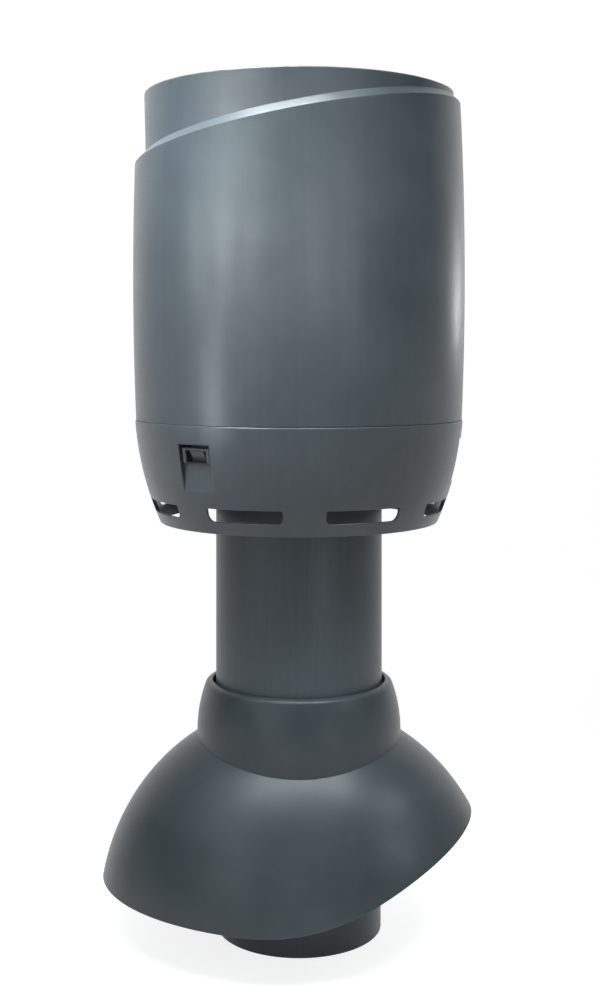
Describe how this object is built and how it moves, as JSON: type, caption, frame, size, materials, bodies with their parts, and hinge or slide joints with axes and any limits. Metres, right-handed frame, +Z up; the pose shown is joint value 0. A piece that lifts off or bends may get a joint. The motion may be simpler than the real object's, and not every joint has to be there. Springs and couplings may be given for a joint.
{
  "type": "roof vent pipe",
  "caption": "Roof ventilation pipe with an oval domed roof skirt and an open-topped rain hood, held together by snap latches and screws.",
  "frame": {"origin": "on the pipe's axis, at the pipe's lower end", "axes": "+Z up along the pipe; +X towards the uphill side of the skirt; -Y is the side that the picture shows"},
  "size_m": [0.2438, 0.2192, 0.5494],
  "materials": {
    "pipe_plastic": "satin, extruded",
    "skirt_plastic": "satin, moulded",
    "hood_plastic": "fine-grained, moulded",
    "seal_rubber": "matt",
    "screw_steel": "bright"
  },
  "bodies": {
    "root": {"vent_pipe": "pipe_plastic", "roof_skirt": "skirt_plastic", "hood_base": "hood_plastic", "hood_shell": "hood_plastic", "rain_cap": "hood_plastic", "collar_seal": "seal_rubber", "socket_seal": "seal_rubber", "skirt_screws": "screw_steel", "hood_screws": "screw_steel", "cap_screws": "screw_steel"}
  },
  "joints": []
}
